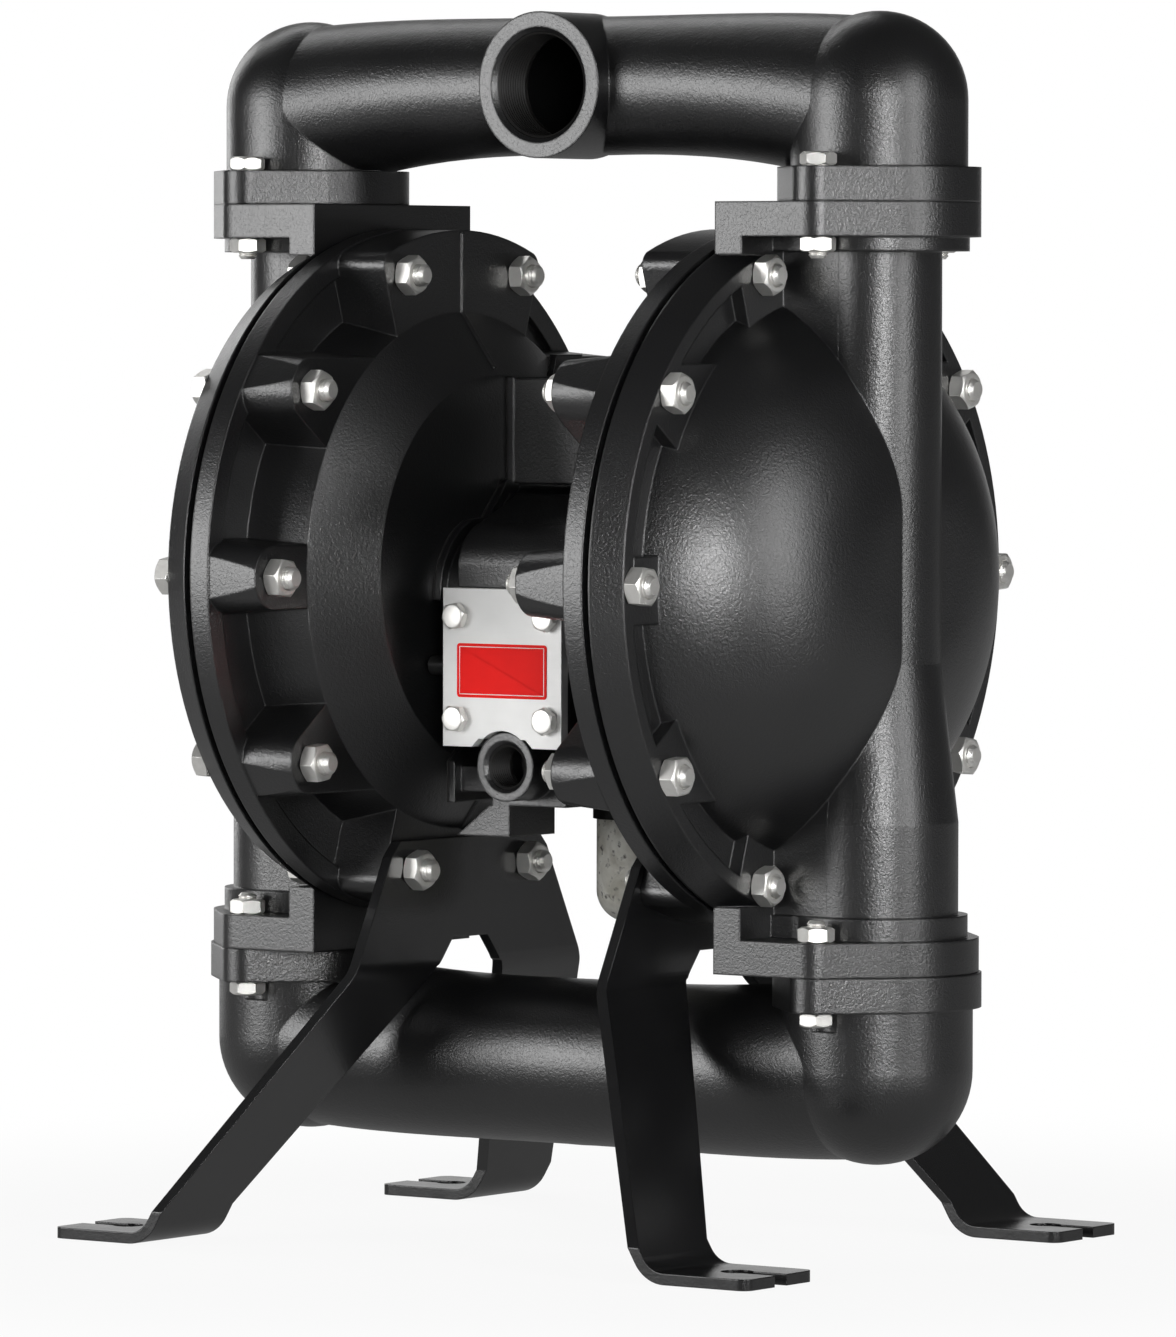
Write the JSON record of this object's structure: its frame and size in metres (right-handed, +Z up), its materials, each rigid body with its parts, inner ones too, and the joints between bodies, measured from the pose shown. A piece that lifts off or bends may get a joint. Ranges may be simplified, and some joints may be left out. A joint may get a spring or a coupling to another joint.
{
  "type": "air operated double diaphragm pump",
  "caption": "Air operated double diaphragm pump with two domed chambers, top and bottom manifolds, an air valve between them and bent leg brackets.",
  "frame": {"origin": "on the floor, midway between the four feet, below the middle of the connecting rod", "axes": "+Z up, +X along the connecting rod towards the right-hand chamber, -Y towards the front with the outlet port and the valve cover"},
  "size_m": [0.487, 0.374, 0.6627],
  "materials": {
    "cast_black": "black powder coat over an orange-peel casting skin",
    "plate_black": "smooth semi-gloss black paint on bent plate",
    "zinc": "bright zinc plated fasteners",
    "cover_steel": "satin rolled plate",
    "machined_steel": "ground and polished",
    "valve_aluminium": "machined",
    "bronze": "sintered bearing bronze",
    "black_rubber": "moulded, matt",
    "seal_rubber": "matt gasket",
    "ball_polymer": "smooth off-white polymer",
    "black_plastic": "moulded",
    "muffler_grey": "mottled porous grey"
  },
  "bodies": {
    "casing": {"button_bushing": "valve_aluminium", "center_body": "cast_black", "inlet_manifold": "cast_black", "inlet_manifold_bolts": "zinc", "inlet_manifold_nuts": "zinc", "left_air_cap": "cast_black", "left_body_gasket": "seal_rubber", "left_body_screws": "zinc", "left_chamber_studs": "zinc", "left_fluid_cap": "cast_black", "left_inlet_seat": "machined_steel", "left_inner_nuts": "zinc", "left_leg_bracket": "plate_black", "left_outer_nuts": "zinc", "left_outlet_seat": "machined_steel", "left_pilot_bush": "bronze", "left_rod_bush": "bronze", "left_spool_cap": "valve_aluminium", "muffler": "muffler_grey", "muffler_collar": "black_plastic", "outlet_manifold": "cast_black", "outlet_manifold_bolts": "zinc", "outlet_manifold_nuts": "zinc", "right_air_cap": "cast_black", "right_body_gasket": "seal_rubber", "right_body_screws": "zinc", "right_chamber_studs": "zinc", "right_fluid_cap": "cast_black", "right_inlet_seat": "machined_steel", "right_inner_nuts": "zinc", "right_leg_bracket": "plate_black", "right_outer_nuts": "zinc", "right_outlet_seat": "machined_steel", "right_pilot_bush": "bronze", "right_rod_bush": "bronze", "right_spool_cap": "valve_aluminium", "seat_rings": "seal_rubber", "side_plug": "zinc", "valve_cover": "cover_steel", "valve_cover_bolts": "zinc", "valve_cover_gasket": "seal_rubber", "valve_sleeve": "valve_aluminium"},
    "shaft": {"connecting_rod": "machined_steel", "left_inner_diaphragm_washer": "valve_aluminium", "right_inner_diaphragm_washer": "valve_aluminium", "left_outer_diaphragm_washer": "valve_aluminium", "right_outer_diaphragm_washer": "valve_aluminium", "left_diaphragm_screw": "machined_steel", "right_diaphragm_screw": "machined_steel", "left_diaphragm": "black_rubber", "right_diaphragm": "black_rubber"},
    "pilot": {"pilot_rod": "machined_steel"},
    "spool": {"valve_spool": "valve_aluminium"},
    "button": {"override_button": "black_plastic"},
    "left_inlet_ball_body": {"left_inlet_ball": "ball_polymer"},
    "right_inlet_ball_body": {"right_inlet_ball": "ball_polymer"},
    "left_outlet_ball_body": {"left_outlet_ball": "ball_polymer"},
    "right_outlet_ball_body": {"right_outlet_ball": "ball_polymer"}
  },
  "joints": [
    {"name": "shaft_stroke", "type": "slide", "parent": "casing", "child": "shaft", "axis": [1, 0, 0], "range_m": [-0.022, 0.022], "deforming": ["right_diaphragm", "left_diaphragm"]},
    {"name": "pilot_shift", "type": "slide", "parent": "casing", "child": "pilot", "axis": [1, 0, 0], "range_m": [-0.004, 0.004]},
    {"name": "spool_shift", "type": "slide", "parent": "casing", "child": "spool", "axis": [1, 0, 0], "range_m": [-0.005, 0.005]},
    {"name": "override_press", "type": "slide", "parent": "casing", "child": "button", "axis": [1, 0, 0], "range_m": [0, 0.004], "stiffness_N_per_m": 800, "springref_m": -0.001},
    {"name": "left_inlet_ball_lift", "type": "slide", "parent": "casing", "child": "left_inlet_ball_body", "axis": [0, 0, 1], "range_m": [0, 0.016]},
    {"name": "right_inlet_ball_lift", "type": "slide", "parent": "casing", "child": "right_inlet_ball_body", "axis": [0, 0, 1], "range_m": [0, 0.016]},
    {"name": "left_outlet_ball_lift", "type": "slide", "parent": "casing", "child": "left_outlet_ball_body", "axis": [0, 0, 1], "range_m": [0, 0.016]},
    {"name": "right_outlet_ball_lift", "type": "slide", "parent": "casing", "child": "right_outlet_ball_body", "axis": [0, 0, 1], "range_m": [0, 0.016]}
  ],
  "couplings": [
    {"joint": "pilot_shift", "follows": "shaft_stroke", "ratio": 0.18182}
  ]
}
